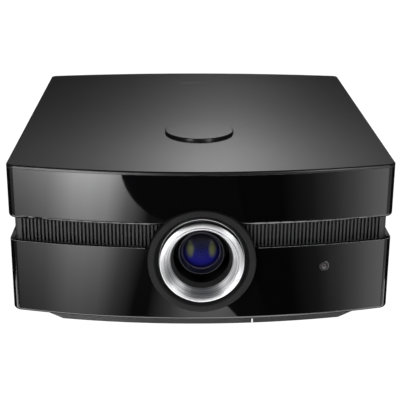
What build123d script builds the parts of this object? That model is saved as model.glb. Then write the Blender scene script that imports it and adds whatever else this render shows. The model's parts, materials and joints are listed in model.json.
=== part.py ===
from build123d import *

import os
from math import acos, cos, pi, radians, sin, sqrt, tan

# Home-cinema projector: a low, bowed black casing with a ribbed waist grille and a shiftable lens.
# Millimetres, +Z up, the lens looks along -Y. The origin is the middle of the floor under the feet.

os.makedirs("parts", exist_ok=True)

# ---------------------------------------------------------------- driving dimensions
WIDTH = 372.4                 # casing, side to side
HALF = WIDTH / 2
FRONT_Y = -187.0              # the casing's front corners
REAR_Y = 203.4                # the casing's rear corners
FRONT_BOW = 25.5              # how far the middle of the front stands out from its corners
REAR_BOW = 16.0
FRONT_CORNER_R = 10.0
REAR_CORNER_R = 7.0

PLATE_Z = 5.0                 # underside of the base plate, above the floor
CASE_Z = 10.0                 # underside of the lower casing
WAIST_LOW = 84.5              # top edge of the lower casing
WAIST_HIGH = 107.5            # bottom edge of the upper casing
EDGE_R = 3.4                  # rounding of the casing halves' outer bottom edges
TOP_Z = 161.0                 # top of the casing
WALL = 2.5                    # casing wall
TOP_WALL = 3.0                # top plate, whose edge shows as a lip over the front panel
FASCIA = 4.0                  # gloss front panels
SEAM = 0.35                   # gap between neighbouring casing pieces
FASCIA_END_Y = -160.0         # the front panels wrap round the corners and end here

WAIST_INSET = 5.5             # the ribbed band lies this far behind the casing's faces
RIB_DEPTH = 6.0
RIB_PITCH = 3.64
RIB_GAP = 2.0

LENS_Z = 72.5                 # optical axis above the floor
RIM_Y = -219.4                # front of the bright ring, the foremost point
BEZEL_R = 51.8
RING_R = 40.3
GROOVE_R = 35.7               # fine groove between the ring's flat rim and its cone
CONE_R = 35.0
CONE_DEPTH = 10.0
RING_BACK_Y = -200.2

DIAL_Y = -72.5                # centre of the round lid over the shift knobs
LID_R = 36.0
WELL_R = 32.0
KNOB_X = 14.5
PINION_TEETH = 15
GEAR_MODULE = 0.8
PINION_R = GEAR_MODULE * PINION_TEETH / 2

RUNNING = 0.05                # radial clearance of a shaft in its hole
BEZEL_Y = -216.4              # front of the dished bezel
BEZEL_BACK_Y = -196.0
DISH_R = 46.0
MOUTH_R = 30.1                # opening of the bright ring
NOSE_R = 22.7                 # lens barrel
NOSE_Y = -193.4
GRIP_R = 26.5                 # focus and zoom rings

# casing layout
REAR_VENT_X = (50.0, 130.0)
VENT_PITCH = 5.0
VENT_SLOT = 2.6
PANEL_X = (-150.0, 40.0)      # connector panel
PANEL_Z = (22.0, 78.0)
PANEL_Y = 196.0               # outer face of the connector plate
KEY_Y = [100.0, 116.0, 132.0, 148.0]
KEY_Z = 134.0
KEY_W = 10.0
KEY_H = 6.0
KEYPAD_X = (-HALF + 6.3, -HALF + 7.9)
INDICATOR_Y = 160.6           # status window in the top
SENSOR_X = 118.7              # remote-control window in the lower front
SENSOR_Z = 62.4
DOOR_X = (46.0, 134.0)
DOOR_Y = (56.0, 144.0)
FOOT_X = 150.0
FOOT_FRONT_Y = -130.0
FOOT_REAR_Y = 150.0
INSERT_X = 110.0              # ceiling-mount inserts, half the spacing
INSERT_FRONT_Y = -100.0
INSERT_REAR_Y = 30.0 + 140.0
INSERT_R = 2.1
INSERT_OUTER = 4.5
INTAKE_SLOTS_X = [-128.0 + 5.0 * i for i in range(13)]
INTAKE_SLOTS_Y = (-58.0, 18.0)
SCREW_POINTS = [(-128, -180), (128, -180), (-128, 182), (128, 182)]
SCREW_R = 2.0
SCREW_TOP = 26.0
STUD_R = 4.0                  # threaded stud of a levelling foot
BUSH_TOP = 32.0
PIPE_X = 49.7                 # white light pipe in the front of the base plate
PIPE_W = 1.6
PIPE_TOP = 9.2

# base plate with the chin lip
PLATE_TOP_X = 150.0
PLATE_BOTTOM_X = 136.0
PLATE_REAR_Y = 192.0

# waist: ribbed in front, plain elsewhere
RIB_COUNT = 38
RIB_FIRST_X = 36.4
RIB_CUT = 4.0                 # depth of the slots between ribs

# lens surround
FRAME_Y = (-149.0, -143.0)    # fixed plate of the lens-shift unit
TUNNEL_BORE = 34.0

# lens
H_PLATE_Y = (-124.0, -116.0)  # horizontal carriage
GLASS_R = 19.5
GLASS_Y = -187.6
GLASS_SPHERE_R = 42.0         # radius of the domed front surface
CROWN_Y = GLASS_Y - 3.4

# lens shift
V_ROD_X = 50.0
V_ROD_Y = -135.0
V_ROD_R = 3.0
V_PLATE_Y = (-139.0, -131.0)
H_ROD_Z = 34.0                # above and below the optical axis
H_ROD_R = 2.5
H_ROD_Y = -120.0
ARM_Z = (113.2, 119.5)        # arms that reach back from the carriages to the knob shafts
RACK_Y = DIAL_Y - PINION_R    # pitch line of the rack
FRAME_HALF_X = 62.0
FRAME_Z = (16.0, 133.0)
LUG = 4.6
TOOTH_STEP = pi * GEAR_MODULE
PRESSURE = radians(20)
BACKLASH = 0.16
RACK_TIP = 0.6
RACK_ROOT = 1.1
RACK_TEETH = 8
WELL_FLOOR = 136.0
KNOB_R = 10.0
KNOB_Z = (142.0, 155.0)
LID_HEIGHT = 2.6

# optical engine
ENGINE_X = (-45.0, 45.0)
ENGINE_Y = (-92.0, -8.0)
ENGINE_Z = (40.0, 95.0)
ENGINE_WALL = 4.0
BEAM_X = 90.0                 # the lamp's axis
BEAM_Z = 55.0
SINK_HALF = 25.0
SINK_FINS = 11
WHEEL_X = 72.0
WHEEL_Y = 30.0
LAMP_BOX = ((54.0, 126.0), (62.0, 138.0), (16.0, 96.0))
LAMP_WALL = 3.0
BURNER = [(0, 78), (2.2, 78), (2.2, 88), (4.2, 91), (5, 94), (4.2, 97), (2.2, 100), (2.2, 122), (0, 122)]

# fans
EXHAUST = (90.0, 172.0, 70.0)
INTAKE = (-98.0, -20.0, 16.5)
BLADE_PITCH = radians(38)
BLOWER = (154.0, 100.0)
BLOWER_BOX = ((130.5, 177.0), (76.0, 124.0), (15.0, 41.0))

# electronics
BOARD_Z = 30.0
BOARD_T = 1.6
MAIN_BOARD_X = (-158.0, 2.0)
MAIN_BOARD_Y = (60.0, 184.0)
# processors, memory, regulators and connectors: middle x and y, width, depth and height
MAIN_CHIPS = ((-60.0, 110.0, 35.0, 35.0, 3.0), (-110.0, 120.0, 22.0, 22.0, 2.4),
              (-130.0, 85.0, 14.0, 30.0, 2.0), (-14.0, 140.0, 20.0, 28.0, 3.0),
              (-30.0, 80.0, 50.0, 8.0, 6.0))
SUPPLY_X = (66.0, 174.0)
SUPPLY_Y = (-110.0, -40.0)
SUPPLY_Z = 22.0
CAPACITORS = ((82.0, -53.0), (104.0, -53.0), (160.0, -94.0))
CAPACITOR_R = 10.0
CAPACITOR_HEIGHT = 36.0
FIN_X = 122.0
FIN_PITCH = 4.0
FIN_COUNT = 6
BAY_WALL = 2.0
SOCKET_BACK_Y = 176.0
INLET_X = 20.0
INLET_Z = 38.0
INLET_W = 28.0
INLET_H = 20.0
ROCKER_Z = 63.0
HDMI_X = (-134.0, -108.0)
UPPER_ROW = 62.0              # heights of the two rows of sockets
LOWER_ROW = 40.0
PHONO_X = (-80.0, -62.0, -44.0)
DSUB = ((-118.0, 31.0, 12.5), (-72.0, 31.0, 12.5))
ROCKER_PIVOT_Y = 189.5
ROCKER_TIP = radians(8)

# feet, inserts, screws
PAD_R = 13.0

LENS_PLANE = Plane.XY.offset(LENS_Z)
LENS_AXIS = Axis((0, 0, LENS_Z), (0, 1, 0))


# ---------------------------------------------------------------- helpers
def write(piece, node):
    """Labels a finished builder and writes it as one STEP node."""
    piece.part.label = node
    export_step(piece.part, f"parts/{node}.step")


def outline(inset=0.0):
    """The casing's plan: bowed front and rear, straight sides, rounded corners."""
    with BuildSketch(mode=Mode.PRIVATE) as plan:
        with BuildLine():
            ThreePointArc((-HALF, FRONT_Y), (0, FRONT_Y - FRONT_BOW), (HALF, FRONT_Y))
            Line((HALF, FRONT_Y), (HALF, REAR_Y))
            ThreePointArc((HALF, REAR_Y), (0, REAR_Y + REAR_BOW), (-HALF, REAR_Y))
            Line((-HALF, REAR_Y), (-HALF, FRONT_Y))
        make_face()
        fillet(plan.vertices().filter_by(lambda v: v.Y < 0), radius=FRONT_CORNER_R)
        fillet(plan.vertices().group_by(Axis.Y)[-1], radius=REAR_CORNER_R)
        if inset:
            offset(amount=-inset, mode=Mode.REPLACE)
    return plan.sketch


def slab(low, high, inset=0.0):
    """The casing's plan, taken in by inset, between two heights."""
    with BuildPart(mode=Mode.PRIVATE) as block:
        with BuildSketch(Plane.XY.offset(low)):
            add(outline(inset))
        extrude(amount=high - low)
    return block.part


def band(low, high, outer, inner):
    """A ring that follows the plan, from inset outer to inset inner."""
    with BuildPart(mode=Mode.PRIVATE) as ring:
        with BuildSketch(Plane.XY.offset(low)):
            add(outline(outer))
            add(outline(inner), mode=Mode.SUBTRACT)
        extrude(amount=high - low)
    return ring.part


def brick(x, y, z):
    """A box between two corners, each axis given as (low, high)."""
    with BuildPart(mode=Mode.PRIVATE) as block:
        with Locations((sum(x) / 2, sum(y) / 2, sum(z) / 2)):
            Box(x[1] - x[0], y[1] - y[0], z[1] - z[0])
    return block.part


def rod(start, direction, radius, length):
    """A plain cylinder from a start point along a direction."""
    with BuildPart(mode=Mode.PRIVATE) as bar:
        with BuildSketch(Plane(origin=start, z_dir=direction)):
            Circle(radius)
        extrude(amount=length)
    return bar.part


def turned(profile, plane=LENS_PLANE, axis=LENS_AXIS):
    """A solid of revolution from (radius, depth) points."""
    with BuildPart(mode=Mode.PRIVATE) as solid:
        with BuildSketch(plane):
            with BuildLine():
                Polyline(*profile, close=True)
            make_face()
        revolve(axis=axis)
    return solid.part


def tube(start, direction, outer, inner, length):
    """A plain tube from a start point along a direction."""
    with BuildPart(mode=Mode.PRIVATE) as pipe:
        with BuildSketch(Plane(origin=start, z_dir=direction)):
            Circle(outer)
            Circle(inner, mode=Mode.SUBTRACT)
        extrude(amount=length)
    return pipe.part


def front_y(x, inset=0.0):
    """Y of the bowed front at a given x."""
    bow_r = (HALF**2 + FRONT_BOW**2) / (2 * FRONT_BOW)
    return FRONT_Y - FRONT_BOW + bow_r - sqrt((bow_r - inset) ** 2 - x**2)


EVERYWHERE = (-500, 500)
LENS_HOLE = rod((0, -300, LENS_Z), (0, 1, 0), BEZEL_R + SEAM, 180)

def vent_slots(x_span, z_low, z_high, y):
    """Upright slots through the rear wall."""
    count = int((x_span[1] - x_span[0]) / VENT_PITCH)
    with BuildPart(mode=Mode.PRIVATE) as slots:
        centre = (sum(x_span) / 2, y, (z_low + z_high) / 2)
        with BuildSketch(Plane(origin=centre, x_dir=(1, 0, 0), z_dir=(0, 1, 0))):
            with GridLocations(VENT_PITCH, 1, count, 1):
                SlotOverall(z_high - z_low, VENT_SLOT, rotation=90)
        extrude(amount=60)
    return slots.part


# ---------------------------------------------------------------- upper casing
def upper_block():
    """Outer form of the upper casing, rounded below and softened above."""
    with BuildPart(mode=Mode.PRIVATE) as block:
        add(slab(WAIST_HIGH, TOP_Z))
        top = block.faces().sort_by(Axis.Z)[-1]
        fillet(top.edges(), radius=1.6)
        bottom = block.faces().sort_by(Axis.Z)[0]
        fillet(bottom.edges(), radius=EDGE_R)
    return block.part


UPPER = upper_block()
KEYPAD_WALL = Plane(origin=(-HALF, sum(KEY_Y) / len(KEY_Y), KEY_Z), x_dir=(0, 1, 0), z_dir=(-1, 0, 0))

with BuildPart() as top_cover:
    add(UPPER)
    add(slab(WAIST_HIGH - 1, TOP_Z - TOP_WALL, WALL), mode=Mode.SUBTRACT)
    add(brick(EVERYWHERE, (-500, FASCIA_END_Y), (0, TOP_Z - TOP_WALL)), mode=Mode.SUBTRACT)
    # hole under the round lid
    add(rod((0, DIAL_Y, TOP_Z - 10), (0, 0, 1), WELL_R, 20), mode=Mode.SUBTRACT)
    # exhaust slots in the rear wall
    add(vent_slots(REAR_VENT_X, 117, 152, 190), mode=Mode.SUBTRACT)
    # shallow keypad recess and its key holes in the side wall
    with BuildSketch(KEYPAD_WALL):
        RectangleRounded(KEY_Y[-1] - KEY_Y[0] + 20, 14, 4)
    extrude(amount=-1.0, mode=Mode.SUBTRACT)
    with BuildSketch(KEYPAD_WALL):
        with GridLocations(KEY_Y[1] - KEY_Y[0], 1, len(KEY_Y), 1):
            RectangleRounded(KEY_W + 0.4, KEY_H + 0.4, 2)
    extrude(amount=-6.0, mode=Mode.SUBTRACT)
    # pocket for the status window near the rear edge
    with BuildSketch(Plane(origin=(0, INDICATOR_Y, TOP_Z))):
        SlotOverall(42, 5)
    extrude(amount=-1.5, mode=Mode.SUBTRACT)
write(top_cover, "top_cover")

with BuildPart() as upper_fascia:
    add(UPPER)
    add(slab(WAIST_HIGH - 1, TOP_Z + 1, FASCIA), mode=Mode.SUBTRACT)
    add(brick(EVERYWHERE, (-500, FASCIA_END_Y - SEAM), (0, TOP_Z - TOP_WALL - SEAM)), mode=Mode.INTERSECT)
    add(LENS_HOLE, mode=Mode.SUBTRACT)
write(upper_fascia, "upper_fascia")


# ---------------------------------------------------------------- lower casing
def lower_block():
    """Outer form of the lower casing, rounded below and sharp at the waist."""
    with BuildPart(mode=Mode.PRIVATE) as block:
        add(slab(CASE_Z, WAIST_LOW))
        fillet(block.faces().sort_by(Axis.Z)[0].edges(), radius=EDGE_R)
    return block.part


LOWER = lower_block()

with BuildPart() as lower_fascia:
    add(LOWER)
    add(slab(0, WAIST_LOW + 1, FASCIA), mode=Mode.SUBTRACT)
    add(brick(EVERYWHERE, (-500, FASCIA_END_Y - SEAM), EVERYWHERE), mode=Mode.INTERSECT)
    add(LENS_HOLE, mode=Mode.SUBTRACT)
    # seat of the remote sensor's window
    add(rod((SENSOR_X, -230, SENSOR_Z), (0, 1, 0), 4.6, 60), mode=Mode.SUBTRACT)
write(lower_fascia, "lower_fascia")

with BuildPart() as bottom_case:
    add(LOWER)
    add(slab(CASE_Z + WALL, WAIST_LOW + 1, WALL), mode=Mode.SUBTRACT)
    # the front is left to the gloss panel
    with BuildSketch(Plane.XY.offset(0)):
        add(outline(-5))
        add(outline(FASCIA + SEAM), mode=Mode.SUBTRACT)
        with Locations((0, FASCIA_END_Y + 300)):
            Rectangle(600, 600, mode=Mode.SUBTRACT)
    extrude(amount=WAIST_LOW + 5, mode=Mode.SUBTRACT)
    # connector panel opening
    add(brick((PANEL_X[0] - SEAM, PANEL_X[1] + SEAM), (150, 300), (PANEL_Z[0] - SEAM, PANEL_Z[1] + SEAM)),
        mode=Mode.SUBTRACT)
    add(vent_slots(REAR_VENT_X, 24, 78, 190), mode=Mode.SUBTRACT)
    # lamp opening
    add(brick((DOOR_X[0] + 4, DOOR_X[1] - 4), (DOOR_Y[0] + 4, DOOR_Y[1] - 4), (0, 20)), mode=Mode.SUBTRACT)
    # air intake slots, foot bushes, ceiling inserts and screws
    with BuildSketch(Plane.XY.offset(CASE_Z - 1)):
        for x in INTAKE_SLOTS_X:
            with Locations((x, sum(INTAKE_SLOTS_Y) / 2)):
                SlotOverall(INTAKE_SLOTS_Y[1] - INTAKE_SLOTS_Y[0], VENT_SLOT, rotation=90)
    extrude(amount=WALL + 2, mode=Mode.SUBTRACT)
    for x in (-FOOT_X, FOOT_X):
        add(rod((x, FOOT_FRONT_Y, CASE_Z + WALL), (0, 0, 1), STUD_R + 4, BUSH_TOP - CASE_Z - WALL))
        add(rod((x, FOOT_FRONT_Y, 0), (0, 0, 1), STUD_R + RUNNING, 60), mode=Mode.SUBTRACT)
        add(rod((x, FOOT_REAR_Y, 0), (0, 0, 1), SCREW_R, 30), mode=Mode.SUBTRACT)
    for x in (-INSERT_X, INSERT_X):
        for y in (INSERT_FRONT_Y, INSERT_REAR_Y):
            add(rod((x, y, 0), (0, 0, 1), INSERT_OUTER, 30), mode=Mode.SUBTRACT)
    for x, y in SCREW_POINTS:
        add(rod((x, y, CASE_Z + WALL), (0, 0, 1), 5, SCREW_TOP - CASE_Z - WALL))
        add(rod((x, y, 0), (0, 0, 1), SCREW_R, 60), mode=Mode.SUBTRACT)
write(bottom_case, "bottom_case")

# ---------------------------------------------------------------- base plate with the chin lip
with BuildPart() as base_plate:
    add(slab(PLATE_Z, CASE_Z, 2.5))
    with BuildSketch(Plane.XZ.offset(-300)):
        with BuildLine():
            Polyline((-PLATE_TOP_X, CASE_Z), (-PLATE_BOTTOM_X, PLATE_Z),
                     (PLATE_BOTTOM_X, PLATE_Z), (PLATE_TOP_X, CASE_Z), close=True)
        make_face()
    extrude(amount=600, mode=Mode.INTERSECT)
    add(brick(EVERYWHERE, (-300, PLATE_REAR_Y), EVERYWHERE), mode=Mode.INTERSECT)
    add(brick((DOOR_X[0] - SEAM, DOOR_X[1] + SEAM), (DOOR_Y[0] - SEAM, DOOR_Y[1] + SEAM), (0, 20)),
        mode=Mode.SUBTRACT)
    with BuildSketch(Plane.XY.offset(PLATE_Z - 1)):
        for x in INTAKE_SLOTS_X:
            with Locations((x, sum(INTAKE_SLOTS_Y) / 2)):
                SlotOverall(INTAKE_SLOTS_Y[1] - INTAKE_SLOTS_Y[0], VENT_SLOT, rotation=90)
    extrude(amount=7, mode=Mode.SUBTRACT)
    # slot for the light pipe in the front edge
    add(brick((PIPE_X - PIPE_W / 2, PIPE_X + PIPE_W / 2), (-300, front_y(PIPE_X, 9)), (0, PIPE_TOP + 0.1)),
        mode=Mode.SUBTRACT)
    for x in (-INSERT_X, INSERT_X):
        for y in (INSERT_FRONT_Y, INSERT_REAR_Y):
            add(rod((x, y, 0), (0, 0, 1), INSERT_OUTER, 30), mode=Mode.SUBTRACT)
    for x, y in SCREW_POINTS:
        add(rod((x, y, PLATE_Z), (0, 0, 1), 3.9, 2.5), mode=Mode.SUBTRACT)
        add(rod((x, y, 0), (0, 0, 1), 2.1, 30), mode=Mode.SUBTRACT)
    for x in (-FOOT_X, FOOT_X):
        for y in (FOOT_FRONT_Y, FOOT_REAR_Y):
            add(rod((x, y, 0), (0, 0, 1), 16, 30), mode=Mode.SUBTRACT)
write(base_plate, "base_plate")

with BuildPart() as light_pipe:
    add(slab(PLATE_Z, CASE_Z, 2.5))
    add(brick((PIPE_X - PIPE_W / 2 + 0.05, PIPE_X + PIPE_W / 2 - 0.05), (-300, front_y(PIPE_X, 9) - 0.1),
              (PLATE_Z, PIPE_TOP)), mode=Mode.INTERSECT)
write(light_pipe, "status_light_pipe")

with BuildPart() as lamp_door:
    add(brick(DOOR_X, DOOR_Y, (PLATE_Z, CASE_Z - 0.1)))
    fillet(lamp_door.edges().filter_by(Axis.Z), radius=2)
    with BuildSketch(Plane.XY.offset(PLATE_Z)):
        with Locations((sum(DOOR_X) / 2, DOOR_Y[0] + 10)):
            SlotOverall(26, 9)
    extrude(amount=2.5, mode=Mode.SUBTRACT)
    with Locations(Plane(origin=(sum(DOOR_X) / 2, DOOR_Y[1] - 9, PLATE_Z), z_dir=(0, 0, -1))):
        CounterBoreHole(radius=1.7, counter_bore_radius=3.9, counter_bore_depth=2)
write(lamp_door, "lamp_door")

# ---------------------------------------------------------------- waist: ribbed in front, plain elsewhere
def waist_channel(inner_wall):
    """The recessed band, with flanges that reach the casing walls above and below."""
    with BuildPart(mode=Mode.PRIVATE) as channel:
        add(band(WAIST_LOW - 4, WAIST_HIGH + 6, WAIST_INSET, WAIST_INSET + RIB_DEPTH))
        add(band(WAIST_LOW - 4, WAIST_LOW - 0.3, inner_wall + SEAM, WAIST_INSET + 1))
        add(band(WAIST_HIGH + 4.6, WAIST_HIGH + 7.6, inner_wall + SEAM, WAIST_INSET + 1))
    return channel.part


FRONT_CHANNEL = waist_channel(FASCIA)
with BuildPart() as waist_grille:
    add(FRONT_CHANNEL)
    add(brick(EVERYWHERE, (-300, FASCIA_END_Y - SEAM), EVERYWHERE), mode=Mode.INTERSECT)
    with BuildSketch(Plane.XY.offset(WAIST_LOW)):
        for i in range(RIB_COUNT):
            x = RIB_FIRST_X + RIB_PITCH * (i + 0.5)
            root_y = front_y(x, WAIST_INSET + RIB_CUT)
            with Locations((-x, root_y - 50), (x, root_y - 50)):
                Rectangle(RIB_GAP, 100)
    extrude(amount=WAIST_HIGH + 4 - WAIST_LOW, mode=Mode.SUBTRACT)
    add(LENS_HOLE, mode=Mode.SUBTRACT)
write(waist_grille, "waist_grille")

with BuildPart() as waist_band:
    add(waist_channel(WALL))
    add(brick(EVERYWHERE, (FASCIA_END_Y, 300), EVERYWHERE), mode=Mode.INTERSECT)
write(waist_band, "waist_band")

# ---------------------------------------------------------------- lens surround
with BuildPart() as lens_bezel:
    with BuildSketch(LENS_PLANE) as bezel_profile:
        with BuildLine():
            Polyline((BEZEL_R, BEZEL_BACK_Y), (BEZEL_R, BEZEL_Y), (DISH_R, BEZEL_Y),
                     (DISH_R - 2.4, BEZEL_Y + 2.6), (DISH_R - 3.4, -203.0), (RING_R + 0.6, -202.4),
                     (RING_R + 0.6, BEZEL_BACK_Y), close=True)
        make_face()
        fillet(bezel_profile.vertices().group_by(Axis.Y)[0], radius=1.5)
    revolve(axis=LENS_AXIS)
write(lens_bezel, "lens_bezel")

with BuildPart() as lens_ring:
    with BuildSketch(LENS_PLANE) as ring_profile:
        with BuildLine():
            Polyline((RING_R, RING_BACK_Y), (RING_R, RIM_Y), (GROOVE_R, RIM_Y), (GROOVE_R, RIM_Y + 1.4),
                     (CONE_R, RIM_Y + 1.4), (CONE_R, RIM_Y + 0.6), (MOUTH_R, RIM_Y + CONE_DEPTH),
                     (MOUTH_R, RING_BACK_Y), close=True)
        make_face()
        fillet(ring_profile.vertices().group_by(Axis.Y)[0], radius=1.0)
    revolve(axis=LENS_AXIS)
write(lens_ring, "lens_ring")

with BuildPart() as lens_tunnel:
    add(turned([(RING_R, -200), (MOUTH_R, -200), (MOUTH_R, -197), (31.4, -197), (31.4, -191), (32.7, -191),
                (32.7, -185), (TUNNEL_BORE, -185), (TUNNEL_BORE, FRAME_Y[0]), (RING_R, FRAME_Y[0])]))
write(lens_tunnel, "lens_tunnel")

# ---------------------------------------------------------------- lens
with BuildPart() as lens_barrel:
    add(turned([(NOSE_R, -192.8), (NOSE_R - 0.6, NOSE_Y), (21.3, NOSE_Y), (GLASS_R + 0.1, -190.4),
                (GLASS_R + 0.1, GLASS_Y + 6), (17, GLASS_Y + 6), (17, -112), (13, -112), (13, -100),
                (20, -100), (20, -112.9), (29, -112.9), (29, H_PLATE_Y[1] + 0.1),
                (NOSE_R, H_PLATE_Y[1] + 0.1)]))
write(lens_barrel, "lens_barrel")

with BuildPart() as front_element:
    add(rod((0, CROWN_Y - 1, LENS_Z), (0, 1, 0), GLASS_R, GLASS_Y + 5.9 - CROWN_Y + 1))
    with Locations((0, CROWN_Y + GLASS_SPHERE_R, LENS_Z)):
        Sphere(GLASS_SPHERE_R, mode=Mode.INTERSECT)
write(front_element, "front_element")

for node, low, high, flutes in (("focus_ring", -178, -166, 48), ("zoom_ring", -162, -145, 36)):
    with BuildPart() as grip:
        add(turned([(NOSE_R + RUNNING, low), (GRIP_R - 0.7, low), (GRIP_R, low + 0.7), (GRIP_R, high - 0.7),
                    (GRIP_R - 0.7, high), (NOSE_R + RUNNING, high)]))
        with BuildSketch(Plane(origin=(0, low + 2, LENS_Z), x_dir=(1, 0, 0), z_dir=(0, 1, 0))):
            with PolarLocations(GRIP_R + 0.3, flutes):
                Circle(0.9)
        extrude(amount=high - low - 4, mode=Mode.SUBTRACT)
    write(grip, node)

# ---------------------------------------------------------------- lens shift

with BuildPart() as shift_frame:
    add(brick((-FRAME_HALF_X, FRAME_HALF_X), FRAME_Y, FRAME_Z))
    add(brick((-FRAME_HALF_X, FRAME_HALF_X), (FRAME_Y[0], -128), (FRAME_Z[0], FRAME_Z[0] + LUG)))
    add(brick((-FRAME_HALF_X, FRAME_HALF_X), (FRAME_Y[0], -128), (FRAME_Z[1] - LUG, FRAME_Z[1])))
    add(rod((0, -150, LENS_Z), (0, 1, 0), 36, 20), mode=Mode.SUBTRACT)
    for x in (-V_ROD_X, V_ROD_X):
        add(rod((x, V_ROD_Y, 0), (0, 0, 1), V_ROD_R, 200), mode=Mode.SUBTRACT)
    # legs that stand on the floor of the casing
    for x in (-52, 52):
        add(brick((x - 8, x + 8), (FRAME_Y[0], -128), (CASE_Z + WALL, FRAME_Z[0])))
write(shift_frame, "shift_frame")

with BuildPart() as shift_rods:
    for x in (-V_ROD_X, V_ROD_X):
        add(rod((x, V_ROD_Y, FRAME_Z[0] + 1), (0, 0, 1), V_ROD_R, FRAME_Z[1] - FRAME_Z[0] - 2))
write(shift_rods, "shift_rods")

with BuildPart() as vertical_carriage:
    add(brick((-58, 58), V_PLATE_Y, (LENS_Z - 42, LENS_Z + 42)))
    add(rod((0, -160, LENS_Z), (0, 1, 0), 29, 60), mode=Mode.SUBTRACT)
    # lugs for the horizontal rods
    for x in (-54, 54):
        for z in (LENS_Z - H_ROD_Z, LENS_Z + H_ROD_Z):
            add(brick((x - 4, x + 4), (V_PLATE_Y[1], H_ROD_Y + 5), (z - 5, z + 5)))
            add(rod((x - 5, H_ROD_Y, z), (1, 0, 0), H_ROD_R, 10), mode=Mode.SUBTRACT)
    # arm with the nut of the lead screw
    add(brick((-KNOB_X - 7.5, -KNOB_X + 7.5), V_PLATE_Y, (LENS_Z + 40, ARM_Z[1])))
    add(brick((-KNOB_X - 7.5, -KNOB_X + 7.5), (V_PLATE_Y[0], DIAL_Y + 7), ARM_Z))
    for x in (-V_ROD_X, V_ROD_X):
        add(rod((x, V_ROD_Y, 0), (0, 0, 1), V_ROD_R + RUNNING, 200), mode=Mode.SUBTRACT)
    add(rod((-KNOB_X, DIAL_Y, 100), (0, 0, 1), 3 + RUNNING, 40), mode=Mode.SUBTRACT)
write(vertical_carriage, "vertical_carriage")

with BuildPart() as carriage_rods:
    for z in (LENS_Z - H_ROD_Z, LENS_Z + H_ROD_Z):
        add(rod((-58, H_ROD_Y, z), (1, 0, 0), H_ROD_R, 116))
write(carriage_rods, "carriage_rods")


def rack_tooth(x):
    """One straight-sided tooth that points along +Y, as (x, y) points."""
    half = TOOTH_STEP / 4 - BACKLASH / 2
    root = half + RACK_ROOT * tan(PRESSURE)
    tip = half - RACK_TIP * tan(PRESSURE)
    return [(x - root, RACK_Y - RACK_ROOT), (x - tip, RACK_Y + RACK_TIP),
            (x + tip, RACK_Y + RACK_TIP), (x + root, RACK_Y - RACK_ROOT)]


with BuildPart() as horizontal_carriage:
    add(brick((-38, 38), H_PLATE_Y, (LENS_Z - 40, LENS_Z + 40)))
    add(rod((0, -140, LENS_Z), (0, 1, 0), NOSE_R + 0.1, 60), mode=Mode.SUBTRACT)
    for z in (LENS_Z - H_ROD_Z, LENS_Z + H_ROD_Z):
        add(rod((-50, H_ROD_Y, z), (1, 0, 0), H_ROD_R + RUNNING, 100), mode=Mode.SUBTRACT)
    # arm with the rack
    add(brick((KNOB_X - 11, KNOB_X + 11), H_PLATE_Y, (LENS_Z + 38, ARM_Z[1])))
    add(brick((KNOB_X - 11, KNOB_X + 11), (H_PLATE_Y[0], RACK_Y - RACK_ROOT), ARM_Z))
    with BuildSketch(Plane.XY.offset(ARM_Z[0])):
        for i in range(RACK_TEETH):
            with BuildLine():
                Polyline(*rack_tooth(KNOB_X + TOOTH_STEP * (i - RACK_TEETH / 2 + 0.5)), close=True)
            make_face()
    extrude(amount=ARM_Z[1] - ARM_Z[0])
write(horizontal_carriage, "horizontal_carriage")


def knob():
    """A fluted knob with its shaft down through the well floor, about the Z axis at the origin."""
    with BuildPart(mode=Mode.PRIVATE) as handle:
        add(rod((0, 0, KNOB_Z[0]), (0, 0, 1), KNOB_R, KNOB_Z[1] - KNOB_Z[0]))
        chamfer(handle.faces().sort_by(Axis.Z)[-1].edges(), length=1)
        with BuildSketch(Plane.XY.offset(KNOB_Z[0])):
            with PolarLocations(KNOB_R + 0.6, 18):
                Circle(1.2)
        extrude(amount=20, mode=Mode.SUBTRACT)
        add(rod((0, 0, WELL_FLOOR - 4), (0, 0, 1), 3, KNOB_Z[0] - WELL_FLOOR + 5))
    return handle.part


def gear_tooth():
    """Outline of one involute tooth that points along -Y, as points about the origin."""
    base_r = PINION_R * cos(PRESSURE)
    half_angle = (TOOTH_STEP / 2 - BACKLASH) / (2 * PINION_R) + tan(PRESSURE) - PRESSURE
    flank = [(4.0, half_angle), (base_r, half_angle)]
    for i in range(1, 5):
        r = base_r + (PINION_R + GEAR_MODULE - 0.05 - base_r) * i / 4
        slope = acos(base_r / r)
        flank.append((r, half_angle - tan(slope) + slope))
    right = [(r * sin(a), -r * cos(a)) for r, a in flank]
    return right + [(-x, y) for x, y in reversed(right)]


with BuildPart() as shift_screw:
    with Locations((-KNOB_X, DIAL_Y, 0)):
        add(knob())
    add(rod((-KNOB_X, DIAL_Y, 104), (0, 0, 1), 3, 36))
write(shift_screw, "shift_screw")

with BuildPart() as shift_pinion:
    with Locations((KNOB_X, DIAL_Y, 0)):
        add(knob())
    add(rod((KNOB_X, DIAL_Y, 105.5), (0, 0, 1), 3, 34))
    with BuildSketch(Plane.XY.offset(105.5)):
        with Locations((KNOB_X, DIAL_Y)):
            Circle(PINION_R - 1.0)
        for i in range(PINION_TEETH):
            with Locations(Location((KNOB_X, DIAL_Y), 360 / PINION_TEETH * i)):
                Polygon(*gear_tooth(), align=None)
    extrude(amount=22)
write(shift_pinion, "shift_pinion")

with BuildPart() as knob_well:
    add(tube((0, DIAL_Y, WELL_FLOOR), (0, 0, 1), WELL_R + 2, WELL_R, TOP_Z - TOP_WALL - WELL_FLOOR))
    add(rod((0, DIAL_Y, WELL_FLOOR), (0, 0, 1), WELL_R + 2, 2))
    for x in (-KNOB_X, KNOB_X):
        add(rod((x, DIAL_Y, 120), (0, 0, 1), 3 + RUNNING, 30), mode=Mode.SUBTRACT)
write(knob_well, "knob_well")

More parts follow.
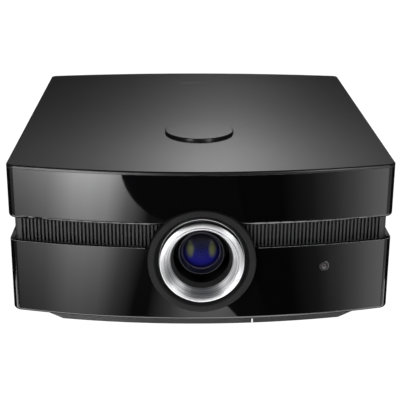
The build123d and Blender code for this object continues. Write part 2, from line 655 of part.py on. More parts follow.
with BuildPart() as shift_lid:
    add(rod((0, DIAL_Y, TOP_Z), (0, 0, 1), LID_R, LID_HEIGHT))
    fillet(shift_lid.faces().sort_by(Axis.Z)[-1].edges(), radius=1.2)
    add(tube((0, DIAL_Y, TOP_Z - 5), (0, 0, 1), WELL_R - 0.3, WELL_R - 2.3, 5.5))
write(shift_lid, "shift_lid")

# ---------------------------------------------------------------- optical engine
with BuildPart() as engine_housing:
    add(brick(ENGINE_X, ENGINE_Y, ENGINE_Z))
    fillet(engine_housing.edges().filter_by(Axis.Z), radius=4)
    add(brick(*[(low + ENGINE_WALL, high - ENGINE_WALL) for low, high in (ENGINE_X, ENGINE_Y, ENGINE_Z)]),
        mode=Mode.SUBTRACT)
    add(rod((0, -100, LENS_Z), (0, 1, 0), 18, 14), mode=Mode.SUBTRACT)
    add(brick((-12, 12), (-20, 0), (LENS_Z - 9, LENS_Z + 9)), mode=Mode.SUBTRACT)
    add(brick((40, 50), (-36, -18), (BEAM_Z - 9, BEAM_Z + 9)), mode=Mode.SUBTRACT)
    for x in (-36, 36):
        for y in (-84, -16):
            add(rod((x, y, CASE_Z + WALL), (0, 0, 1), 5, ENGINE_Z[0] - CASE_Z - WALL))
write(engine_housing, "engine_housing")

with BuildPart() as chip_board:
    add(brick((-36, 36), (-7.8, -6.2), (44, 100)))
    add(brick((-14, 14), (-6.2, -3.2), (LENS_Z - 12, LENS_Z + 12)))
write(chip_board, "chip_board")

with BuildPart() as chip_heat_sink:
    add(brick((-SINK_HALF, SINK_HALF), (-3.0, 2.0), (LENS_Z - 24, LENS_Z + 24)))
    for i in range(SINK_FINS):
        x = SINK_HALF * (2 * i / (SINK_FINS - 1) - 1) * 0.96
        add(brick((x - 0.7, x + 0.7), (2.0, 26.0), (LENS_Z - 24, LENS_Z + 24)))
write(chip_heat_sink, "chip_heat_sink")

with BuildPart() as light_tunnel:
    # glass rod housing along the beam, then the fold into the side of the engine
    add(brick((BEAM_X - 7, BEAM_X + 7), (-14, 24), (BEAM_Z - 7, BEAM_Z + 7)))
    add(brick((BEAM_X - 4, BEAM_X + 4), (-20, 30), (BEAM_Z - 3, BEAM_Z + 3)), mode=Mode.SUBTRACT)
    with BuildSketch(Plane.XY.offset(BEAM_Z - 13)):
        with BuildLine():
            Polyline((ENGINE_X[1] + 0.2, -40), (84, -40), (104, -20), (104, -14),
                     (ENGINE_X[1] + 0.2, -14), close=True)
        make_face()
    extrude(amount=26)
    add(brick((ENGINE_X[1] - 1, 92), (-36, -18), (BEAM_Z - 9, BEAM_Z + 9)), mode=Mode.SUBTRACT)
    add(brick((BEAM_X - 4, BEAM_X + 4), (-19, 0), (BEAM_Z - 3, BEAM_Z + 3)), mode=Mode.SUBTRACT)
write(light_tunnel, "light_tunnel")

with BuildPart() as colour_wheel:
    add(rod((WHEEL_X, WHEEL_Y, BEAM_Z), (0, 1, 0), 23, 1.1))
    add(rod((WHEEL_X, WHEEL_Y - 2, BEAM_Z), (0, 1, 0), 11, 6))
    add(rod((WHEEL_X, WHEEL_Y - 5, BEAM_Z), (0, 1, 0), 1.5 + RUNNING, 20), mode=Mode.SUBTRACT)
write(colour_wheel, "colour_wheel")

with BuildPart() as colour_wheel_motor:
    add(rod((WHEEL_X, WHEEL_Y + 5, BEAM_Z), (0, 1, 0), 11, 11))
    add(rod((WHEEL_X, WHEEL_Y - 1.5, BEAM_Z), (0, 1, 0), 1.5, 8))
    add(brick((WHEEL_X - 12, WHEEL_X + 12), (WHEEL_Y + 12, WHEEL_Y + 16), (CASE_Z + WALL, BEAM_Z)))
write(colour_wheel_motor, "colour_wheel_motor")

with BuildPart() as lamp_housing:
    add(brick(*LAMP_BOX))
    add(brick(*[(low + LAMP_WALL, high - LAMP_WALL) for low, high in LAMP_BOX]), mode=Mode.SUBTRACT)
    add(rod((BEAM_X, 60, BEAM_Z), (0, 1, 0), 27, 8), mode=Mode.SUBTRACT)
    # air inlet from the blower and outlet towards the exhaust fan
    add(brick((120, 130), (84, 116), (28, 40)), mode=Mode.SUBTRACT)
    add(brick((70, 110), (132, 142), (40, 88)), mode=Mode.SUBTRACT)
write(lamp_housing, "lamp_housing")

with BuildPart() as lamp_reflector:
    with BuildSketch(Plane.XY.offset(BEAM_Z)):
        with BuildLine():
            outer = RadiusArc((BEAM_X + 26, 66), (BEAM_X + 6, 104), -48)
            Line(outer @ 1, (BEAM_X + 6, 116))
            Line((BEAM_X + 6, 116), (BEAM_X + 4.5, 116))
            Line((BEAM_X + 4.5, 116), (BEAM_X + 4.5, 104))
            inner = RadiusArc((BEAM_X + 4.5, 104), (BEAM_X + 24, 66), 47)
            Line(inner @ 1, outer @ 0)
        make_face()
    revolve(axis=Axis((BEAM_X, 0, BEAM_Z), (0, 1, 0)))
write(lamp_reflector, "lamp_reflector")

with BuildPart() as lamp_burner:
    add(turned([(BEAM_X + r, y) for r, y in BURNER], Plane.XY.offset(BEAM_Z),
               Axis((BEAM_X, 0, BEAM_Z), (0, 1, 0))))
    add(tube((BEAM_X, 112, BEAM_Z), (0, 1, 0), 4.4, 2.1, 14))
write(lamp_burner, "lamp_burner")

# ---------------------------------------------------------------- fans
EXHAUST_PLANE = Plane(origin=EXHAUST, x_dir=(1, 0, 0), z_dir=(0, 1, 0))
INTAKE_PLANE = Plane(origin=INTAKE, x_dir=(1, 0, 0), z_dir=(0, 0, 1))


def fan_frame(plane, size, depth, bore):
    """Square frame with four struts, a motor boss and the rotor's shaft; plane is the boss side."""
    with BuildPart(mode=Mode.PRIVATE) as frame:
        with BuildSketch(plane):
            RectangleRounded(size, size, 4)
            Circle(bore, mode=Mode.SUBTRACT)
            with GridLocations(size - 8, size - 8, 2, 2):
                Circle(2.2, mode=Mode.SUBTRACT)
        extrude(amount=depth)
        with BuildSketch(plane):
            Circle(14)
            with PolarLocations(0, 4, start_angle=45):
                with Locations((bore / 2 + 1, 0)):
                    Rectangle(bore, 3)
        extrude(amount=2.5)
        with BuildSketch(plane):
            Circle(2)
        extrude(amount=depth - 3)
    return frame.part


def fan_rotor(plane, radius, depth, blades):
    """Hub and pitched blades that turn on the frame's shaft."""
    with BuildPart(mode=Mode.PRIVATE) as rotor:
        start = plane.offset(3.2)
        height = depth - 5
        with BuildSketch(start):
            Circle(15)
        extrude(amount=height)
        middle = start.offset(height / 2)
        for i in range(blades):
            turn = 2 * pi / blades * i
            spoke = middle.x_dir * cos(turn) + middle.y_dir * sin(turn)
            around = middle.y_dir * cos(turn) - middle.x_dir * sin(turn)
            chord = around * cos(BLADE_PITCH) + middle.z_dir * sin(BLADE_PITCH)
            with BuildSketch(Plane(origin=middle.origin + spoke * 13, x_dir=chord, z_dir=spoke)):
                RectangleRounded((height - 2) / sin(BLADE_PITCH), 1.2, 0.55)
            extrude(amount=radius)
        with BuildSketch(start):
            Circle(radius)
        extrude(amount=height, mode=Mode.INTERSECT)
        with BuildSketch(start.offset(-1)):
            Circle(2 + RUNNING)
        extrude(amount=depth, mode=Mode.SUBTRACT)
    return rotor.part


with BuildPart() as fan_frames:
    add(fan_frame(EXHAUST_PLANE, 80, 25, 38))
    add(fan_frame(INTAKE_PLANE, 80, 20, 38))
write(fan_frames, "fan_frames")

with BuildPart() as exhaust_fan_rotor:
    add(fan_rotor(EXHAUST_PLANE, 36.5, 25, 7))
write(exhaust_fan_rotor, "exhaust_fan_rotor")

with BuildPart() as intake_fan_rotor:
    add(fan_rotor(INTAKE_PLANE, 36.5, 20, 7))
write(intake_fan_rotor, "intake_fan_rotor")

with BuildPart() as blower_housing:
    add(brick(BLOWER_BOX[0], BLOWER_BOX[1], BLOWER_BOX[2]))
    add(rod((*BLOWER, 17), (0, 0, 1), 20.5, 22), mode=Mode.SUBTRACT)
    add(rod((*BLOWER, 38), (0, 0, 1), 15, 10), mode=Mode.SUBTRACT)
    add(brick((125, 154), (84, 100), (20, 38)), mode=Mode.SUBTRACT)
    add(rod((*BLOWER, 16), (0, 0, 1), 1.5, 20))
write(blower_housing, "blower_housing")

with BuildPart() as blower_rotor:
    add(rod((*BLOWER, 18), (0, 0, 1), 18.5, 1.5))
    add(rod((*BLOWER, 18), (0, 0, 1), 6, 16))
    with BuildSketch(Plane.XY.offset(18)):
        with Locations((BLOWER[0], BLOWER[1])):
            with PolarLocations(16.2, 24):
                Rectangle(3.4, 0.9, rotation=35)
    extrude(amount=17)
    add(tube((*BLOWER, 34), (0, 0, 1), 18.5, 14.5, 1))
    add(rod((*BLOWER, 10), (0, 0, 1), 1.5 + RUNNING, 30), mode=Mode.SUBTRACT)
write(blower_rotor, "blower_rotor")

# ---------------------------------------------------------------- electronics
with BuildPart() as main_board:
    add(brick(MAIN_BOARD_X, MAIN_BOARD_Y, (BOARD_Z, BOARD_Z + BOARD_T)))
    for x, y, w, d, h in MAIN_CHIPS:
        add(brick((x - w / 2, x + w / 2), (y - d / 2, y + d / 2),
                  (BOARD_Z + BOARD_T, BOARD_Z + BOARD_T + h)))
    for x in (-150, -75, -6):
        for y in (68, 176):
            add(rod((x, y, CASE_Z + WALL), (0, 0, 1), 3, BOARD_Z - CASE_Z - WALL))
write(main_board, "main_board")

with BuildPart() as power_board:
    add(brick(SUPPLY_X, SUPPLY_Y, (SUPPLY_Z, SUPPLY_Z + BOARD_T)))
    for x in (SUPPLY_X[0] + 6, SUPPLY_X[1] - 6):
        for y in (SUPPLY_Y[0] + 6, SUPPLY_Y[1] - 6):
            add(rod((x, y, CASE_Z + WALL), (0, 0, 1), 3, SUPPLY_Z - CASE_Z - WALL))
    # transformers, capacitors and a finned heat sink
    on_board = SUPPLY_Z + BOARD_T
    add(brick((76, 112), (-100, -66), (on_board, 55)))
    add(brick((148, 170), (-76, -50), (on_board, 50)))
    for x, y in CAPACITORS:
        add(rod((x, y, on_board), (0, 0, 1), CAPACITOR_R, CAPACITOR_HEIGHT))
    for i in range(FIN_COUNT):
        x = FIN_X + FIN_PITCH * i
        add(brick((x, x + 1.5), (-100, -62), (on_board, 62)))
    add(brick((FIN_X, FIN_X + FIN_PITCH * (FIN_COUNT - 1) + 1.5), (-100, -62), (on_board, 28)))
write(power_board, "power_board")

with BuildPart() as lamp_ballast:
    add(brick((130, 176), (-34, 60), (14, 62)))
    fillet(lamp_ballast.edges().filter_by(Axis.Z), radius=2)
write(lamp_ballast, "lamp_ballast")


with BuildPart() as connector_bay:
    # walls of the recess, trimmed to the bowed rear, and the plate at its foot
    add(brick(PANEL_X, (PANEL_Y - BAY_WALL, 230), PANEL_Z))
    add(brick((PANEL_X[0] + BAY_WALL, PANEL_X[1] - BAY_WALL), (PANEL_Y, 240),
              (PANEL_Z[0] + BAY_WALL, PANEL_Z[1] - BAY_WALL)), mode=Mode.SUBTRACT)
    add(slab(0, 100, 0.4), mode=Mode.INTERSECT)
    for x in HDMI_X:
        add(brick((x - 8, x + 8), (180, 200), (UPPER_ROW - 4, UPPER_ROW + 4)), mode=Mode.SUBTRACT)
    for x in PHONO_X:
        add(rod((x, 180, UPPER_ROW), (0, 1, 0), 5.2, 20), mode=Mode.SUBTRACT)
    for x, w, h in DSUB:
        add(brick((x - w / 2 - 0.2, x + w / 2 + 0.2), (180, 200),
                  (LOWER_ROW - h / 2 - 0.2, LOWER_ROW + h / 2 + 0.2)), mode=Mode.SUBTRACT)
    add(rod((-20, 180, UPPER_ROW), (0, 1, 0), 4.2, 20), mode=Mode.SUBTRACT)
    add(brick((INLET_X - INLET_W / 2 - 0.2, INLET_X + INLET_W / 2 + 0.2), (180, 200),
              (INLET_Z - INLET_H / 2 - 0.2, INLET_Z + INLET_H / 2 + 0.2)), mode=Mode.SUBTRACT)
    add(brick((INLET_X - 7.4, INLET_X + 7.4), (180, 200), (ROCKER_Z - 11, ROCKER_Z + 11)),
        mode=Mode.SUBTRACT)
write(connector_bay, "connector_bay")

with BuildPart() as signal_sockets:
    for x in HDMI_X:
        add(brick((x - 7.8, x + 7.8), (184, 197), (UPPER_ROW - 3.8, UPPER_ROW + 3.8)))
        add(brick((x - 7.0, x + 7.0), (187, 199), (UPPER_ROW - 2.3, UPPER_ROW + 2.3)), mode=Mode.SUBTRACT)
        add(brick((x - 5.0, x + 5.0), (186, 195), (UPPER_ROW - 0.6, UPPER_ROW + 0.6)))
    for x in PHONO_X:
        add(rod((x, 184, UPPER_ROW), (0, 1, 0), 5.0, 12.5))
        add(tube((x, 196, UPPER_ROW), (0, 1, 0), 4.1, 1.8, 8))
        add(rod((x, 190, UPPER_ROW), (0, 1, 0), 1.8, 8), mode=Mode.SUBTRACT)
    for x, w, h in DSUB:
        add(brick((x - w / 2, x + w / 2), (184, 197), (LOWER_ROW - h / 2, LOWER_ROW + h / 2)))
        add(brick((x - 9, x + 9), (196, 202), (LOWER_ROW - 4, LOWER_ROW + 4)))
        for side in (-1, 1):
            add(rod((x + 12.5 * side, 196, LOWER_ROW), (0, 1, 0), 2.4, 5))
    add(rod((-20, 184, UPPER_ROW), (0, 1, 0), 4.0, 14))
    add(rod((-20, 186, UPPER_ROW), (0, 1, 0), 1.8, 20), mode=Mode.SUBTRACT)
write(signal_sockets, "signal_sockets")

with BuildPart() as mains_inlet:
    add(brick((INLET_X - INLET_W / 2, INLET_X + INLET_W / 2), (SOCKET_BACK_Y, 197.5),
              (INLET_Z - INLET_H / 2, INLET_Z + INLET_H / 2)))
    fillet(mains_inlet.edges().filter_by(Axis.Y), radius=2)
    add(brick((INLET_X - 12, INLET_X + 12), (180, 200), (INLET_Z - 8, INLET_Z + 8)), mode=Mode.SUBTRACT)
    for x, z in ((-7, -2), (0, 2), (7, -2)):
        add(brick((INLET_X + x - 1, INLET_X + x + 1), (178, 194), (INLET_Z + z - 2, INLET_Z + z + 2)))
    # frame of the rocker switch, moulded with the inlet
    add(brick((INLET_X - 9.5, INLET_X + 9.5), (SOCKET_BACK_Y, PANEL_Y - BAY_WALL - 0.1),
              (INLET_Z + 8, ROCKER_Z + 12.4)))
    add(brick((INLET_X - 7.2, INLET_X + 7.2), (182, 200), (ROCKER_Z - 11, ROCKER_Z + 11)),
        mode=Mode.SUBTRACT)
    for side in (-1, 1):
        add(rod((INLET_X + side * 6.4, ROCKER_PIVOT_Y, ROCKER_Z), (side, 0, 0), 1.5, 2))
write(mains_inlet, "mains_inlet")

TIPPED = Plane(origin=(INLET_X - 6.8, ROCKER_PIVOT_Y, ROCKER_Z),
               x_dir=(0, cos(ROCKER_TIP), sin(ROCKER_TIP)), z_dir=(1, 0, 0))
with BuildPart() as power_rocker:
    with BuildSketch(TIPPED):
        with BuildLine():
            Polyline((-3, -5), (1, -9.4), (9.7, -9.4), (7.3, 0), (9.7, 9.4), (1, 9.4), (-3, 5), close=True)
        make_face()
    extrude(amount=13.6)
    for side in (-1, 1):
        add(rod((INLET_X + side * 6.2, ROCKER_PIVOT_Y, ROCKER_Z), (side, 0, 0), 1.5 + RUNNING, 2),
            mode=Mode.SUBTRACT)
write(power_rocker, "power_rocker")

# ---------------------------------------------------------------- windows, keys
with BuildPart() as sensor_window:
    add(rod((SENSOR_X, -206, SENSOR_Z), (0, 1, 0), 4.5, 14))
    add(slab(0, 100, -0.6), mode=Mode.INTERSECT)
    with Locations((SENSOR_X, front_y(SENSOR_X, 2.6), SENSOR_Z)):
        Sphere(3.4)
write(sensor_window, "sensor_window")

with BuildPart() as status_window:
    with BuildSketch(Plane.XY.offset(TOP_Z - 1.5)):
        with Locations((0, INDICATOR_Y)):
            SlotOverall(41.7, 4.7)
    extrude(amount=1.5)
write(status_window, "status_window")

KEY_PLANE = Plane(origin=(-HALF + 0.1, 0, KEY_Z), x_dir=(0, 1, 0), z_dir=(1, 0, 0))
for number, key_y in enumerate(KEY_Y, start=1):
    with BuildPart() as key:
        with BuildSketch(KEY_PLANE):
            with Locations((key_y, 0)):
                RectangleRounded(KEY_W, KEY_H, 1.9)
        extrude(amount=3.4)
        fillet(key.faces().sort_by(Axis.X)[0].edges(), radius=0.5)
        with BuildSketch(KEY_PLANE.offset(2.9)):
            with Locations((key_y, 0)):
                RectangleRounded(KEY_W + 2.4, KEY_H + 2.4, 1.9)
        extrude(amount=1.0)
        with BuildSketch(KEY_PLANE.offset(3.5)):
            with Locations((key_y, 0)):
                Circle(1.6)
        extrude(amount=1.6)
    write(key, f"key_{number}")

with BuildPart() as keypad_board:
    add(brick(KEYPAD_X, (KEY_Y[0] - 13, KEY_Y[-1] + 13), (KEY_Z - 8, KEY_Z + 8)))
    for y in (KEY_Y[0] - 10, KEY_Y[-1] + 10):
        add(rod((-HALF + WALL, y, KEY_Z), (1, 0, 0), 2.5, KEYPAD_X[1] + HALF - WALL))
write(keypad_board, "keypad_board")

# ---------------------------------------------------------------- feet, inserts, screws
for side, place in ((-1, "left"), (1, "right")):
    x = side * FOOT_X
    with BuildPart() as foot_pad:
        add(rod((x, FOOT_FRONT_Y, 0), (0, 0, 1), PAD_R, 4))
        fillet(foot_pad.faces().sort_by(Axis.Z)[0].edges(), radius=1)
        add(rod((x, FOOT_FRONT_Y, 2), (0, 0, 1), 5 + RUNNING, 10), mode=Mode.SUBTRACT)
    write(foot_pad, f"foot_pad_{place}")
    with BuildPart() as foot_screw:
        add(rod((x, FOOT_FRONT_Y, 4.3), (0, 0, 1), 14, 5.2))
        with BuildSketch(Plane.XY.offset(4)):
            with Locations((x, FOOT_FRONT_Y)):
                with PolarLocations(14.6, 24):
                    Circle(1.2)
        extrude(amount=8, mode=Mode.SUBTRACT)
        add(rod((x, FOOT_FRONT_Y, 2.3), (0, 0, 1), 5, 3))
        add(rod((x, FOOT_FRONT_Y, 6), (0, 0, 1), STUD_R, 25))
    write(foot_screw, f"foot_screw_{place}")

with BuildPart() as rear_feet:
    for x in (-FOOT_X, FOOT_X):
        add(rod((x, FOOT_REAR_Y, 0), (0, 0, 1), 12, CASE_Z))
        add(rod((x, FOOT_REAR_Y, CASE_Z), (0, 0, 1), SCREW_R, 8))
    fillet(rear_feet.faces().group_by(Axis.Z)[0].edges(), radius=1)
write(rear_feet, "rear_feet")

with BuildPart() as mount_inserts:
    for x in (-INSERT_X, INSERT_X):
        for y in (INSERT_FRONT_Y, INSERT_REAR_Y):
            add(tube((x, y, PLATE_Z), (0, 0, 1), INSERT_OUTER, INSERT_R, 12))
write(mount_inserts, "mount_inserts")

with BuildPart() as case_screws:
    for x, y in SCREW_POINTS:
        add(rod((x, y, PLATE_Z + 0.4), (0, 0, 1), 3.6, 2.1))
        add(rod((x, y, PLATE_Z + 2), (0, 0, 1), SCREW_R, 16))
        with BuildSketch(Plane.XY.offset(PLATE_Z)):
            with Locations((x, y)):
                Rectangle(4.4, 0.9)
                Rectangle(0.9, 4.4)
        extrude(amount=1.4, mode=Mode.SUBTRACT)
    door_y = DOOR_Y[1] - 9
    add(rod((sum(DOOR_X) / 2, door_y, PLATE_Z + 0.3), (0, 0, 1), 3.6, 1.7))
    add(rod((sum(DOOR_X) / 2, door_y, PLATE_Z + 1), (0, 0, 1), 1.65, 9))
write(case_screws, "case_screws")
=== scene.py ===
"""The home-cinema projector's looks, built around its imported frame.

Metres, +Z up, the lens looks along -Y.
"""

import json
from math import asin, cos, pi, radians, sin, sqrt

import bmesh
import bpy
from mathutils import Matrix, Vector


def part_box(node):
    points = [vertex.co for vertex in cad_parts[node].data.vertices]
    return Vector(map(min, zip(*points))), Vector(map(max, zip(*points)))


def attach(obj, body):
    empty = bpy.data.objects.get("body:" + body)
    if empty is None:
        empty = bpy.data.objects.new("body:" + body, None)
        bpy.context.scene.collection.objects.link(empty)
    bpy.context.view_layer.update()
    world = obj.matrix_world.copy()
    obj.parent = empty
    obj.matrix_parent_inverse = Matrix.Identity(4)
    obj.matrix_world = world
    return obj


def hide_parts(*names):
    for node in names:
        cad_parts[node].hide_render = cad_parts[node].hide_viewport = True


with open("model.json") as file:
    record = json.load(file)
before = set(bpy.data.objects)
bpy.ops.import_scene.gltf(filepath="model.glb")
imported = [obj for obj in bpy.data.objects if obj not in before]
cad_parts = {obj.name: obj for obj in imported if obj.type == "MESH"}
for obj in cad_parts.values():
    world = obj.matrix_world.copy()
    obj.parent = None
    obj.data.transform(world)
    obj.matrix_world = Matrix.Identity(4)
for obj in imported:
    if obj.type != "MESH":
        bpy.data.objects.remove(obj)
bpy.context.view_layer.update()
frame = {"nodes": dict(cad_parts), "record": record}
NODES = frame["nodes"]

# ---------------------------------------------------------------- places read from the frame
MM = 0.001
COVER_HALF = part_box("top_cover")[1].x
UPPER_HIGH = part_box("upper_fascia")[1]
LOWER_LOW, LOWER_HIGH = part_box("lower_fascia")
BEZEL_LOW, BEZEL_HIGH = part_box("lens_bezel")
BEZEL_R = BEZEL_HIGH.x
RING_LOW, RING_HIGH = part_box("lens_ring")
RING_R = (RING_HIGH.x - RING_LOW.x) / 2
RIM_Y = RING_LOW.y
LENS_Z = (RING_LOW.z + RING_HIGH.z) / 2
NOSE_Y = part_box("lens_barrel")[0].y
GLASS_LOW, GLASS_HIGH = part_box("front_element")
GLASS_R = (GLASS_HIGH.x - GLASS_LOW.x) / 2
SENSOR_LOW, SENSOR_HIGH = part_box("sensor_window")
SENSOR_R = (SENSOR_HIGH.x - SENSOR_LOW.x) / 2
SENSOR_AT = (SENSOR_LOW.x + SENSOR_HIGH.x) / 2, (SENSOR_LOW.z + SENSOR_HIGH.z) / 2

# ---------------------------------------------------------------- sizes of the fine detail
FRONT_BOW = 25.5 * MM         # how far the middle of the front stands out from its corners
CORNER_R = 10.0 * MM
MOUTH_R = 30.1 * MM           # bore at the back of the ring's cone
CONE_R = 35.0 * MM
GROOVE_R = 35.7 * MM          # fine groove between the rim and the cone
CONE_DEPTH = 10.0 * MM
CONE_GROOVES = 9
SEAL_Y = BEZEL_LOW.y + 7.0 * MM
SEAL_OUTER = 44.2 * MM
RIDGES = 4                    # baffle ridges behind the cone
RIDGE_STEP = 2.2 * MM
RIDGE_FALL = 0.75 * MM
NOSE_BEAD_R = 21.9 * MM
DOME_R = 3.3 * MM             # infrared window
DOME_RISE = 2.2 * MM

# ---------------------------------------------------------------- looks
# painted reflections for the front glass: blue below and dark above, rings of the elements behind, a violet
# rim highlight and olive patches for the side strips
GLASS_PAINTED_REFLECTION = [(0.05, (0.006, 0.006, 0.05)), (0.25, (0.008, 0.007, 0.115)), (0.48, (0.01, 0.01, 0.09)),
              (0.62, (0.009, 0.01, 0.035)), (0.85, (0.012, 0.012, 0.016))]
GLASS_RING_REFLECTIONS = [(0.0, 0.3), (0.12, 1.0), (0.19, 0.55), (0.26, 1.0), (0.36, 0.7), (0.44, 1.0),
               (0.62, 0.95), (0.74, 0.7), (0.82, 0.35), (0.92, 0.2)]
GLASS_RIM_HIGHLIGHT = [(0.9, (0, 0, 0)), (0.95, (0.05, 0.045, 0.075)), (1.0, (0.08, 0.075, 0.1))]
OLIVE_REFLECTION = (0.075, 0.08, 0.03, 1)
OLIVE_X = 0.56                # place and size of the painted olive reflections, as shares of the glass radius
OLIVE_Z = 0.1
OLIVE_WIDE = 0.24
OLIVE_TALL = 0.5
KNURL_TEETH = 180.0


# ---------------------------------------------------------------- node helpers
class Shade:
    """A material under construction: keeps its tree and adds nodes with short calls."""

    def __init__(self, name):
        self.material = bpy.data.materials.new(name)
        self.material.use_nodes = True
        self.tree = self.material.node_tree
        self.bsdf = self.tree.nodes["Principled BSDF"]

    def node(self, kind, **settings):
        made = self.tree.nodes.new(kind)
        for key, value in settings.items():
            if hasattr(made, key):
                setattr(made, key, value)
            else:
                made.inputs[key.replace("_", " ")].default_value = value
        return made

    def link(self, source, target):
        self.tree.links.new(source, target)

    def set(self, **values):
        for key, value in values.items():
            self.bsdf.inputs[key.replace("_", " ")].default_value = value

    def math(self, operation, *terms, clamp=False):
        """A Math node whose terms are sockets or numbers."""
        made = self.node("ShaderNodeMath", operation=operation, use_clamp=clamp)
        for socket, term in zip(made.inputs, terms):
            if isinstance(term, (int, float)):
                socket.default_value = term
            else:
                self.link(term, socket)
        return made.outputs[0]

    def split(self, vector):
        made = self.node("ShaderNodeSeparateXYZ")
        self.link(vector, made.inputs[0])
        return made.outputs

    def length(self, vector):
        made = self.node("ShaderNodeVectorMath", operation="LENGTH")
        self.link(vector, made.inputs[0])
        return made.outputs["Value"]

    def coords(self):
        return self.node("ShaderNodeTexCoord").outputs["Object"]

    def noise(self, scale, detail=2.0, rough=0.5, stretch=None):
        """Noise over object space; stretch scales the axes for brushed or streaked looks."""
        source = self.coords()
        if stretch:
            mapping = self.node("ShaderNodeMapping")
            mapping.inputs["Scale"].default_value = stretch
            self.link(source, mapping.inputs["Vector"])
            source = mapping.outputs["Vector"]
        made = self.node("ShaderNodeTexNoise", Scale=scale, Detail=detail, Roughness=rough)
        self.link(source, made.inputs["Vector"])
        return made.outputs["Fac"]

    def ramp(self, fac, stops):
        made = self.node("ShaderNodeValToRGB")
        ramp = made.color_ramp
        while len(ramp.elements) < len(stops):
            ramp.elements.new(0.5)
        for element, (place, value) in zip(ramp.elements, stops):
            element.position = place
            element.color = (*value, 1) if isinstance(value, tuple) else (value, value, value, 1)
        self.link(fac, made.inputs["Fac"])
        return made.outputs["Color"]

    def bump(self, height, strength, distance, normal=None):
        made = self.node("ShaderNodeBump", Strength=strength, Distance=distance)
        self.link(height, made.inputs["Height"])
        if normal:
            self.link(normal, made.inputs["Normal"])
        return made.outputs["Normal"]


MOTTLE = 0.12


def moulded(name, colour, rough, grain=2600.0, depth=0.00003, specular=0.5):
    """Injection-moulded plastic: fine spark-eroded grain, faint mottling and slight gloss variation."""
    m = Shade(name)
    m.set(Specular_IOR_Level=specular)
    fine = m.noise(grain, 3.0, 0.6)
    broad = m.noise(22.0, 4.0, 0.55)
    low = tuple(c * (1 - MOTTLE) for c in colour)
    high = tuple(c * (1 + MOTTLE) for c in colour)
    m.link(m.ramp(broad, [(0.35, low), (0.65, high)]), m.bsdf.inputs["Base Color"])
    m.link(m.ramp(broad, [(0.3, max(rough - 0.04, 0.02)), (0.7, rough + 0.04)]), m.bsdf.inputs["Roughness"])
    m.link(m.bump(fine, 0.5, depth), m.bsdf.inputs["Normal"])
    return m.material


def satin_cover():
    """The top: fine satin lacquer over moulded plastic, with very faint orange peel."""
    m = Shade("satin_cover")
    m.set(IOR=1.5)
    upward = m.split(m.node("ShaderNodeTexCoord").outputs["Normal"])["Z"]
    # painted shade: the sides' base colour is darker than the top's
    m.link(m.ramp(upward, [(0.5, (0.004, 0.004, 0.004)), (0.95, (0.006, 0.006, 0.0065))]),
           m.bsdf.inputs["Base Color"])
    rough = m.ramp(upward, [(0.4, 0.28), (0.95, 0.14)])
    m.link(m.math("MULTIPLY_ADD", m.noise(9.0, 3.0), 0.03, rough), m.bsdf.inputs["Roughness"])
    peel = m.bump(m.noise(420.0, 2.0), 0.12, 0.00006)
    m.link(m.bump(m.noise(3200.0, 2.0), 0.25, 0.00001, peel), m.bsdf.inputs["Normal"])
    return m.material


def piano_black():
    """Lacquered front panels: deep gloss, faint orange peel and hairline wiping marks."""
    m = Shade("piano_black")
    m.set(Base_Color=(0.001, 0.001, 0.0012, 1), IOR=1.5)
    wipe = m.noise(60.0, 6.0, 0.7, stretch=(1.0, 1.0, 9.0))
    m.link(m.ramp(wipe, [(0.42, 0.018), (0.75, 0.05)]), m.bsdf.inputs["Roughness"])
    m.link(m.bump(m.noise(140.0, 1.0), 0.03, 0.00004), m.bsdf.inputs["Normal"])
    return m.material


def turned_metal():
    """Bright spun aluminium: concentric turning lines, darker bands and a fine radial knurl."""
    m = Shade("turned_metal")
    m.set(Metallic=1.0, Anisotropic=0.94, Anisotropic_Rotation=0.25)
    place = m.split(m.coords())
    rise = m.math("SUBTRACT", place["Z"], LENS_Z)
    flat = m.node("ShaderNodeCombineXYZ")
    m.link(place["X"], flat.inputs["X"])
    m.link(rise, flat.inputs["Y"])
    around = m.node("ShaderNodeCombineXYZ")
    m.link(m.length(flat.outputs[0]), around.inputs["X"])
    lines = m.node("ShaderNodeTexNoise", Scale=5200.0, Detail=2.0)
    m.link(around.outputs[0], lines.inputs["Vector"])
    m.link(m.ramp(lines.outputs["Fac"], [(0.3, 0.42), (0.7, 0.5)]), m.bsdf.inputs["Roughness"])
    bands = m.node("ShaderNodeTexNoise", Scale=1100.0, Detail=2.0)
    m.link(around.outputs[0], bands.inputs["Vector"])
    m.link(m.ramp(bands.outputs["Fac"], [(0.38, (0.36, 0.36, 0.37)), (0.55, (0.82, 0.82, 0.83))]),
           m.bsdf.inputs["Base Color"])
    angle = m.math("ARCTAN2", rise, place["X"])
    knurl = m.math("SINE", m.math("MULTIPLY", angle, KNURL_TEETH))
    turned = m.bump(lines.outputs["Fac"], 0.25, 0.00004)
    m.link(m.bump(knurl, 0.1, 0.00003, turned), m.bsdf.inputs["Normal"])
    tangent = m.node("ShaderNodeTangent", direction_type="RADIAL", axis="Y")
    m.link(tangent.outputs[0], m.bsdf.inputs["Tangent"])
    return m.material


def metal(name, colour, rough, stretch=None, scale=700.0, depth=0.00003):
    m = Shade(name)
    m.set(Metallic=1.0)
    grain = m.noise(scale, 3.0, 0.6, stretch)
    dark = tuple(c * 0.86 for c in colour)
    m.link(m.ramp(m.noise(40.0, 4.0), [(0.3, dark), (0.7, colour)]), m.bsdf.inputs["Base Color"])
    m.link(m.ramp(grain, [(0.3, rough * 0.8), (0.7, rough * 1.2)]), m.bsdf.inputs["Roughness"])
    m.link(m.bump(grain, 0.35, depth), m.bsdf.inputs["Normal"])
    return m.material


